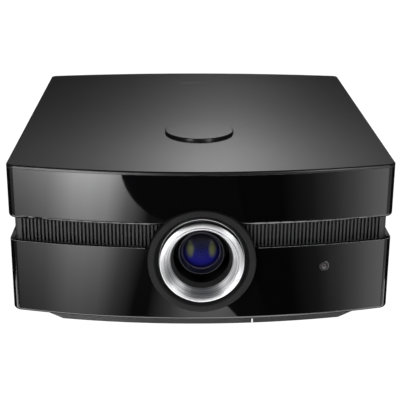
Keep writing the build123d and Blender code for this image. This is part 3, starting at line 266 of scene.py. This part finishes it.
def glass_painted_reflections():
    """Front element: painted reflections in its colour, blue from the broadband coating below, dark above,
    two soft olive ones.
    """
    m = Shade("glass_painted_reflections")
    m.set(IOR=1.35, Roughness=0.2, Specular_IOR_Level=0.1, Specular_Tint=(0.55, 0.6, 0.5, 1))
    place = m.node("ShaderNodeMapping", vector_type="POINT")
    place.inputs["Location"].default_value = (0.0, 0.0, -LENS_Z / GLASS_R)
    place.inputs["Scale"].default_value = (1 / GLASS_R, 0.0, 1 / GLASS_R)
    m.link(m.coords(), place.inputs["Vector"])
    split = m.split(place.outputs["Vector"])
    # painted reflection: blue below, dark above
    body = m.ramp(m.math("MULTIPLY_ADD", split["Z"], 0.5, 0.5), GLASS_PAINTED_REFLECTION)
    # two painted olive reflections either side of the middle
    patch = m.node("ShaderNodeCombineXYZ")
    m.link(m.math("ABSOLUTE", split["X"]), patch.inputs["X"])
    m.link(split["Z"], patch.inputs["Z"])
    away = m.node("ShaderNodeMapping", vector_type="POINT")
    away.inputs["Location"].default_value = (-OLIVE_X / OLIVE_WIDE, 0.0, -OLIVE_Z / OLIVE_TALL)
    away.inputs["Scale"].default_value = (1 / OLIVE_WIDE, 1.0, 1 / OLIVE_TALL)
    m.link(patch.outputs[0], away.inputs["Vector"])
    blend = m.node("ShaderNodeMix", data_type="RGBA")
    olive_reflection_mask = m.ramp(m.length(away.outputs["Vector"]), [(0.0, 1.0), (0.45, 0.75), (1.0, 0.0)])
    m.link(olive_reflection_mask, blend.inputs["Factor"])
    m.link(body, blend.inputs["A"])
    blend.inputs["B"].default_value = OLIVE_REFLECTION
    # painted reflections of the rings of the elements behind, and a painted violet rim highlight
    radius = m.length(place.outputs["Vector"])
    shade = m.node("ShaderNodeMix", data_type="RGBA", blend_type="MULTIPLY")
    shade.inputs["Factor"].default_value = 1.0
    m.link(blend.outputs["Result"], shade.inputs["A"])
    m.link(m.ramp(radius, GLASS_RING_REFLECTIONS), shade.inputs["B"])
    total = m.node("ShaderNodeMix", data_type="RGBA", blend_type="ADD")
    total.inputs["Factor"].default_value = 1.0
    m.link(shade.outputs["Result"], total.inputs["A"])
    m.link(m.ramp(radius, GLASS_RIM_HIGHLIGHT), total.inputs["B"])
    m.link(total.outputs["Result"], m.bsdf.inputs["Base Color"])
    return m.material


def clear(name, colour, rough=0.05):
    m = Shade(name)
    m.set(Base_Color=(*colour, 1), IOR=1.49, Transmission_Weight=0.6)
    m.link(m.ramp(m.noise(80.0, 3.0), [(0.3, rough), (0.7, rough * 2)]), m.bsdf.inputs["Roughness"])
    return m.material


def smoked(name):
    """Infrared window: near-black, faintly red, glossy."""
    m = Shade(name)
    m.set(IOR=1.5)
    m.link(m.ramp(m.noise(60.0, 3.0), [(0.3, (0.010, 0.008, 0.009)), (0.7, (0.014, 0.010, 0.011))]),
           m.bsdf.inputs["Base Color"])
    m.link(m.ramp(m.noise(300.0, 2.0), [(0.3, 0.3), (0.7, 0.36)]), m.bsdf.inputs["Roughness"])
    return m.material


def laminate():
    """Circuit board: green solder mask over copper tracks."""
    m = Shade("laminate")
    tracks = m.node("ShaderNodeTexVoronoi", feature="DISTANCE_TO_EDGE", Scale=260.0)
    m.link(m.coords(), tracks.inputs["Vector"])
    stops = [(0.02, (0.02, 0.09, 0.035)), (0.06, (0.03, 0.17, 0.07))]
    m.link(m.ramp(tracks.outputs["Distance"], stops), m.bsdf.inputs["Base Color"])
    m.set(Roughness=0.28)
    return m.material


def glow(name, colour, strength):
    m = Shade(name)
    m.set(Base_Color=(*colour, 1), Emission_Color=(*colour, 1), Emission_Strength=strength)
    m.link(m.ramp(m.noise(900.0), [(0.3, 0.3), (0.7, 0.4)]), m.bsdf.inputs["Roughness"])
    return m.material


FINISH = {
    "cover": satin_cover(),
    "gloss_panel": piano_black(),
    "lower_case": moulded("lower_case", (0.008, 0.008, 0.0085), 0.36),
    "ribs": moulded("ribs", (0.011, 0.011, 0.0115), 0.6, grain=3200.0, depth=0.00001),
    "bezel": moulded("bezel", (0.004, 0.004, 0.0042), 0.58, grain=3600.0, depth=0.00001, specular=0.2),
    "bright_ring": turned_metal(),
    "tunnel": moulded("tunnel", (0.008, 0.008, 0.008), 0.5, grain=3000.0),
    "barrel": metal("barrel", (0.09, 0.09, 0.1), 0.34, scale=1500.0, depth=0.00001),
    "lens_glass": glass_painted_reflections(),
    "grip": moulded("grip", (0.012, 0.012, 0.012), 0.6, grain=1800.0),
    # painted glow: the light pipe emits light so that it reads white, though nothing lights it
    "light_pipe": glow("light_pipe", (0.5, 0.5, 0.52), 0.25),
    "window": smoked("window"),
    "steel": metal("steel", (0.62, 0.62, 0.63), 0.25, stretch=(1, 1, 12)),
    "zinc": metal("zinc", (0.5, 0.51, 0.52), 0.38),
    "cast": metal("cast", (0.5, 0.51, 0.52), 0.48, scale=1200.0, depth=0.00012),
    "brass": metal("brass", (0.72, 0.55, 0.26), 0.28),
    "board": laminate(),
    "inner_black": moulded("inner_black", (0.015, 0.015, 0.015), 0.45),
    "clear_glass": clear("clear_glass", (0.9, 0.93, 0.95), 0.02),
    "mirror_coat": metal("mirror_coat", (0.8, 0.82, 0.88), 0.06, depth=0.000002),
    "foot_rubber": moulded("foot_rubber", (0.015, 0.015, 0.015), 0.7, grain=1500.0),
    "key_cap": moulded("key_cap", (0.03, 0.03, 0.032), 0.36, grain=3200.0),
}
for part in frame["record"]["subparts"]:
    mesh = NODES[part["node"]].data
    mesh.materials.clear()
    mesh.materials.append(FINISH[part["material_slot"]])

# painted light: the seal is grey, lighter than the bezel, so the deep gap behind the ring doesn't read as
# shade
SEAL_RUBBER = moulded("seal", (0.03, 0.03, 0.031), 0.6, grain=3000.0)
# painted highlight: a pale line at the ring's seat, where its edge catches the light
PAINTED_SEAT_HIGHLIGHT = moulded("painted_seat_highlight", (0.7, 0.7, 0.71), 0.3, grain=3000.0, depth=0.000005)
# painted highlight: a pale line along the lower panels' top edge, where the edge catches light
PAINTED_EDGE_HIGHLIGHT = moulded("painted_edge_highlight", (0.1, 0.1, 0.103), 0.5, grain=3000.0, depth=0.000005)
# painted highlight, dimmer: the upper panels' top edge and the sensor's collar
PAINTED_DIM_HIGHLIGHT = moulded("painted_dim_highlight", (0.07, 0.07, 0.072), 0.3, grain=3000.0, depth=0.000005)


# ---------------------------------------------------------------- new detail pieces
def piece(name, data, body, slot, material=None):
    """A new visible object on a body, in its slot's finish unless a material is given."""
    made = bpy.data.objects.new(name, data)
    bpy.context.collection.objects.link(made)
    data.materials.append(material or FINISH[slot])
    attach(made, body)
    return made


def spun(name, outline, body, slot, material=None, centre=(0, LENS_Z), segments=192):
    """A closed outline of (radius, y) points turned about an axis along Y through centre."""
    mesh = bpy.data.meshes.new(name)
    b = bmesh.new()
    turns = [2 * pi * i / segments for i in range(segments)]
    circles = []
    for r, y in outline:
        around = turns if r > 0 else turns[:1]
        circles.append([b.verts.new((centre[0] + r * cos(a), y, centre[1] + r * sin(a))) for a in around])
    for one, two in zip(circles, circles[1:] + circles[:1]):
        for i in range(segments):
            k = (i + 1) % segments
            corners = [one[i % len(one)], one[k % len(one)], two[k % len(two)], two[i % len(two)]]
            corners = list(dict.fromkeys(corners))
            if len(corners) > 2:
                b.faces.new(corners)
    bmesh.ops.recalc_face_normals(b, faces=b.faces)
    b.to_mesh(mesh)
    b.free()
    for face in mesh.polygons:
        face.use_smooth = True
    return piece(name, mesh, body, slot, material)


def bead(name, radius, y, thick, body, slot, material=None):
    """A fine round-section ring about the lens axis."""
    around = [2 * pi * i / 10 for i in range(10)]
    return spun(name, [(radius + thick * cos(a), y + thick * sin(a)) for a in around], body, slot, material)


def grooved_cone(depth, low, high, grooves):
    """Points of a finely grooved cone between two (radius, y) ends."""
    (r0, y0), (r1, y1) = low, high
    points = []
    for i in range(grooves * 3 + 1):
        along = i / (grooves * 3)
        lift = depth * (1 - cos(2 * pi * along * grooves)) / 2
        points.append((r0 + (r1 - r0) * along + lift, y0 + (y1 - y0) * along - lift))
    return points


def make_ring():
    """The bright ring: a rounded rim, a fine groove and a grooved cone down to the tunnel."""
    rim = [(RING_R, RING_HIGH.y), (RING_R, RIM_Y + 1.1 * MM), (RING_R - 0.3 * MM, RIM_Y + 0.35 * MM),
           (RING_R - 1.1 * MM, RIM_Y), (GROOVE_R + 0.5 * MM, RIM_Y), (GROOVE_R, RIM_Y + 0.4 * MM),
           (GROOVE_R, RIM_Y + 1.3 * MM), (CONE_R, RIM_Y + 1.3 * MM), (CONE_R, RIM_Y + 0.7 * MM)]
    mouth = (MOUTH_R, RIM_Y + CONE_DEPTH)
    cone = grooved_cone(0.12 * MM, (CONE_R - 0.3 * MM, RIM_Y + 0.6 * MM), mouth, CONE_GROOVES)
    ring = spun("bright_ring", rim + cone + [(MOUTH_R, RING_HIGH.y)], "casing", "bright_ring", segments=256)
    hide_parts("lens_ring")


def make_surround():
    """What fills the gap between ring and bezel: a dished seal in painted light, a painted highlight line at
    the seat, a dark sleeve.
    """
    inner = RING_R + 0.05 * MM
    seal = [(SEAL_OUTER, SEAL_Y - 3.6 * MM), (SEAL_OUTER - 1.2 * MM, SEAL_Y - 2.4 * MM),
            (SEAL_OUTER - 2.6 * MM, SEAL_Y - 0.9 * MM), (inner, SEAL_Y), (inner, SEAL_Y + 1.4 * MM),
            (SEAL_OUTER - 1.0 * MM, SEAL_Y + 1.4 * MM)]
    spun("dust_seal", seal, "casing", "bezel", SEAL_RUBBER)
    seat = RING_R + 0.5 * MM
    # a pale bead as a painted highlight line along the seat
    bead("ring_seat_highlight", seat, SEAL_Y - 0.3 * MM, 0.32 * MM, "casing", "bright_ring", PAINTED_SEAT_HIGHLIGHT)
    front = RIM_Y + 1.3 * MM
    back = SEAL_Y - 0.6 * MM
    spun("ring_sleeve", [(RING_R + 0.1 * MM, front), (RING_R + 0.1 * MM, back),
                         (RING_R - 0.3 * MM, back), (RING_R - 0.3 * MM, front)], "casing", "bezel")
    bead("bezel_outline", BEZEL_R - 0.22 * MM, BEZEL_LOW.y + 0.22 * MM, 0.2 * MM, "casing", "bezel")


def make_ridges():
    """Saw-toothed baffle ridges behind the cone."""
    start = RIM_Y + CONE_DEPTH
    wall = MOUTH_R + 0.4 * MM
    outline = [(wall, start + 2.0 * MM)]
    for i in range(RIDGES):
        r = MOUTH_R - RIDGE_FALL * i
        y = start + RIDGE_STEP * i
        outline += [(r - 0.1 * MM, y + 0.2 * MM), (r - 0.7 * MM, y + 0.5 * MM), (r - 0.4 * MM, y + 1.4 * MM)]
    spun("tunnel_ridges", outline + [(wall, start + 9.0 * MM)], "casing", "tunnel")


def make_sensor():
    """Infrared window: a domed lens in a bevelled collar, the collar pale as a painted highlight."""
    front = SENSOR_LOW.y
    swing = [pi / 2 * i / 12 for i in range(13)]
    dome = [(DOME_R * sin(a), front + DOME_RISE * (1 - cos(a))) for a in swing]
    back = front + 3.4 * MM
    spun("sensor_dome", dome + [(DOME_R, back), (0, back)], "casing", "window", centre=SENSOR_AT, segments=64)
    lip = front + 1.2 * MM
    collar = [(SENSOR_R + 0.2 * MM, lip + 1.6 * MM), (SENSOR_R + 0.5 * MM, lip + 0.5 * MM),
              (SENSOR_R + 0.1 * MM, lip + 0.1 * MM), (SENSOR_R - 0.5 * MM, lip + 0.9 * MM),
              (SENSOR_R - 0.5 * MM, lip + 1.6 * MM)]
    # the collar's pale colour is a painted highlight on its bevel
    spun("sensor_collar", collar, "casing", "bezel", PAINTED_DIM_HIGHLIGHT, SENSOR_AT, 64)


def casing_edge(inset, z, end_y):
    """Points along the casing's bowed front and its two rounded corners, back to end_y on each side."""
    bow_r = (COVER_HALF ** 2 + FRONT_BOW ** 2) / (2 * FRONT_BOW)
    centre_y = LOWER_LOW.y + bow_r
    corner_x = COVER_HALF - CORNER_R
    corner_y = centre_y - sqrt((bow_r - CORNER_R) ** 2 - corner_x ** 2)
    swing = asin(corner_x / (bow_r - CORNER_R))
    front_turns = [-swing + 2 * swing * i / 80 for i in range(81)]
    corner_turns = [swing + (pi / 2 - swing) * i / 10 for i in range(11)]
    front = [((bow_r - inset) * sin(a), centre_y - (bow_r - inset) * cos(a)) for a in front_turns]
    corner = CORNER_R - inset
    side = [(corner_x + corner * sin(a), corner_y - corner * cos(a)) for a in corner_turns]
    side += [(COVER_HALF - inset, end_y)]
    other = [(-x, y) for x, y in reversed(side)]
    return [(x, y, z) for x, y in other + front[1:-1] + side]


def edge_line(name, points, thick, material):
    """A fine pale line along an edge of the gloss panels, as a swept tube: a painted highlight."""
    curve = bpy.data.curves.new(name, "CURVE")
    curve.dimensions = "3D"
    curve.bevel_depth = thick
    curve.bevel_resolution = 2
    curve.use_fill_caps = True
    line = curve.splines.new("POLY")
    line.points.add(len(points) - 1)
    for spot, place in zip(line.points, points):
        spot.co = (*place, 1)
    piece(name, curve, "casing", "gloss_panel", material)


def both_sides(name, inset, z, thick, material, gap):
    """The same edge line left and right of the lens surround."""
    points = casing_edge(inset, z, UPPER_HIGH.y)
    edge_line(f"{name}_left", [p for p in points if p[0] < -gap], thick, material)
    edge_line(f"{name}_right", [p for p in points if p[0] > gap], thick, material)


make_ring()
make_surround()
make_ridges()
bead("nose_bead", NOSE_BEAD_R, NOSE_Y + 0.35 * MM, 0.35 * MM, "lens_carriage", "barrel")
bead("glass_retainer", GLASS_R + 0.35 * MM, GLASS_LOW.y + 1.2 * MM, 0.45 * MM, "lens_carriage", "barrel")
waist_gap = sqrt(BEZEL_R ** 2 - (LOWER_HIGH.z - LENS_Z) ** 2) + 1.0 * MM
# painted highlight lines along the lower panels' top edge
both_sides("lower_top_edge_highlight", 0.29 * MM, LOWER_HIGH.z, 0.28 * MM, PAINTED_EDGE_HIGHLIGHT, waist_gap)
# painted highlight lines just below the top cover's seam
both_sides("upper_top_edge_highlight", 0.22 * MM, UPPER_HIGH.z - 0.1 * MM, 0.2 * MM, PAINTED_DIM_HIGHLIGHT, 0.0)
make_sensor()


# ---------------------------------------------------------------- studio
FLOOR_HALF = 40.0
CARD_Z = -0.4                 # the low cards lie under the floor, which reflections don't see
BITE_X, BITE_Y, BITE_R = -0.03, -2.12, 0.57
FALL_REACH = 1.52             # distance at which a falloff card has its stated strength
BACK_Y = 3.0
# strength of the low cards over the bearing from their middle, in degrees
LEFT_STOPS = [(2, 0.02), (8, 0.35), (13, 0.85), (18, 1.0), (22, 0.95), (29, 0.5), (38, 0.26), (42, 0.24),
              (50, 0.06)]
RIGHT_STOPS = [(12, 0.0), (20, 0.055), (26, 0.18), (31.5, 0.4), (36, 0.66), (41, 1.0), (50, 0.25)]
# strength of the card behind over its height
BACK_STOPS = [(0.62, 0.0), (0.79, 0.04), (0.97, 0.13), (1.06, 0.3), (1.16, 0.85), (1.25, 1.0)]
BACK_TOP = 2.0
HEART = (0, 0, 0.08)


def sheet(name, corners, material, card=True):
    """A flat stage piece: a card that only reflections see, or the floor that only they don't."""
    mesh = bpy.data.meshes.new(name)
    mesh.from_pydata(corners, [], [tuple(range(len(corners)))])
    made = bpy.data.objects.new(name, mesh)
    bpy.context.collection.objects.link(made)
    mesh.materials.append(material)
    made.visible_glossy = card
    made.visible_camera = not card
    made.visible_diffuse = not card
    made.visible_shadow = not card
    made.visible_transmission = not card


def rectangle(low_x, high_x, low_y, high_y, z):
    return [(low_x, low_y, z), (high_x, low_y, z), (high_x, high_y, z), (low_x, high_y, z)]


def floor_white():
    m = Shade("floor")
    m.set(Base_Color=(0, 0, 0, 1), Roughness=0.9, Emission_Color=(1, 1, 1, 1), Emission_Strength=1.05)
    return m.material


def card_shade(name, strength=1.0):
    """Even emission for a reflection card."""
    m = Shade(name)
    m.set(Base_Color=(0, 0, 0, 1), Specular_IOR_Level=0.0)
    m.set(Emission_Color=(1, 1, 1, 1), Emission_Strength=strength)
    return m


def falloff_card(name, origin_x, stops, power, strength):
    """A card whose emission depends on the bearing and the distance from a point of its own plane."""
    m = card_shade(name)
    apart = m.node("ShaderNodeVectorMath", operation="SUBTRACT")
    m.link(m.coords(), apart.inputs[0])
    apart.inputs[1].default_value = (origin_x, -0.204, CARD_Z)
    split = m.split(apart.outputs[0])
    bearing = m.math("ARCTAN2", m.math("ABSOLUTE", split["X"]), m.math("MULTIPLY", split["Y"], -1.0))
    side = m.ramp(m.math("MULTIPLY", bearing, 2 / pi), [(degrees / 90, value) for degrees, value in stops])
    reach = m.math("POWER", m.math("DIVIDE", m.length(apart.outputs[0]), FALL_REACH), power)
    m.link(m.math("MULTIPLY", m.math("MULTIPLY", reach, strength), side), m.bsdf.inputs["Emission Strength"])
    return m.material


def graded_card(name, middle, wide, strength):
    """A card that fades sideways from its middle and follows BACK_STOPS up its height."""
    m = card_shade(name)
    split = m.split(m.coords())
    rise = m.ramp(m.math("DIVIDE", split["Z"], BACK_TOP), [(z / BACK_TOP, value) for z, value in BACK_STOPS])
    away = m.math("DIVIDE", m.math("SUBTRACT", split["X"], middle), wide)
    fade = m.math("DIVIDE", strength, m.math("ADD", m.math("MULTIPLY", away, away), 1.0))
    m.link(m.math("MULTIPLY", rise, fade), m.bsdf.inputs["Emission Strength"])
    return m.material


def softbox(name, place, target, size, energy, glossy=True):
    light = bpy.data.lights.new(name, "AREA")
    light.shape = "RECTANGLE"
    light.size, light.size_y = size
    light.energy = energy
    lamp = bpy.data.objects.new(name, light)
    bpy.context.collection.objects.link(lamp)
    lamp.location = place
    lamp.rotation_mode = "QUATERNION"
    lamp.rotation_quaternion = (Vector(target) - Vector(place)).to_track_quat("-Z", "Y")
    lamp.visible_glossy = glossy
    lamp.visible_camera = False


floor_corners = rectangle(-FLOOR_HALF, FLOOR_HALF, -FLOOR_HALF, FLOOR_HALF, 0)
sheet("floor", floor_corners, floor_white(), card=False)
# low cards that only the gloss front panels reflect, the left one with a round bite out of its edge
bite_turns = [radians(a) for a in range(200, 104, -4)]
left_corners = [(BITE_X - BITE_R * 1.1, -3.2, CARD_Z)]
left_corners += [(BITE_X + BITE_R * cos(a), BITE_Y + BITE_R * sin(a), CARD_Z) for a in bite_turns]
left_corners += [(0.25, -0.95, CARD_Z), (0.0, -0.5, CARD_Z), (-2.6, -0.5, CARD_Z), (-2.6, -3.2, CARD_Z)]
sheet("card_left", left_corners, falloff_card("card_left", -0.25, LEFT_STOPS, 2.5, 6.9))
right_corners = rectangle(0.3, 3.2, -3.2, -0.4, CARD_Z)
sheet("card_right", right_corners, falloff_card("card_right", 0.25, RIGHT_STOPS, 0.0, 2.6))
# a near card under the front, which only the rounded lower edges reflect
sheet("card_near", rectangle(-1.2, 1.2, -0.72, -0.24, CARD_Z), card_shade("card_near", 4.5).material)
# the card behind, which the satin top reflects
back_corners = [(-1.4, BACK_Y, 0.5), (1.8, BACK_Y, 0.5), (1.8, BACK_Y, 1.32), (-1.4, BACK_Y, 1.32)]
sheet("card_back", back_corners, graded_card("card_back", 0.15, 0.33, 2.6))
softbox("overhead", (0, 0.2, 3.2), HEART, (3.5, 3.5), 90, glossy=False)
softbox("key_left", (-1.6, -1.9, 1.0), (0, -0.2, 0.08), (0.7, 1.0), 22, glossy=False)
softbox("key_right", (1.7, -1.8, 1.0), (0, -0.2, 0.08), (0.7, 1.0), 20, glossy=False)
softbox("fill_back", (0.6, 2.3, 1.0), HEART, (1.6, 1.0), 45, glossy=False)
# low side strips, whose streaks the turned ring shows
for side, name in ((-1, "left"), (1, "right")):
    softbox(f"strip_{name}", (side * 0.86, -1.5, 0.37), (0, -0.2, LENS_Z), (0.26, 0.5), 9.5)

world = bpy.data.worlds.new("studio")
bpy.context.scene.world = world
world.use_nodes = True
world.node_tree.nodes["Background"].inputs["Color"].default_value = (0.02, 0.02, 0.02, 1)

# ---------------------------------------------------------------- camera
LENS_MM = 92.307
CAMERA_AT = Vector((-0.022621, -1.116965, 0.449657))
PITCH, YAW, ROLL = radians(19.236), radians(1.305), radians(0.279)
ahead = Vector((sin(YAW) * cos(PITCH), cos(YAW) * cos(PITCH), -sin(PITCH)))
level = Vector((cos(YAW), -sin(YAW), 0))
above = level.cross(ahead)
right = level * cos(ROLL) + above * sin(ROLL)
upward = above * cos(ROLL) - level * sin(ROLL)
lens_data = bpy.data.cameras.new("camera")
lens_data.lens = LENS_MM
lens_data.sensor_width = 36
camera = bpy.data.objects.new("camera", lens_data)
bpy.context.collection.objects.link(camera)
camera.matrix_world = Matrix.Translation(CAMERA_AT) @ Matrix((right, upward, -ahead)).transposed().to_4x4()
bpy.context.scene.camera = camera
bpy.context.scene.view_settings.view_transform = "Standard"
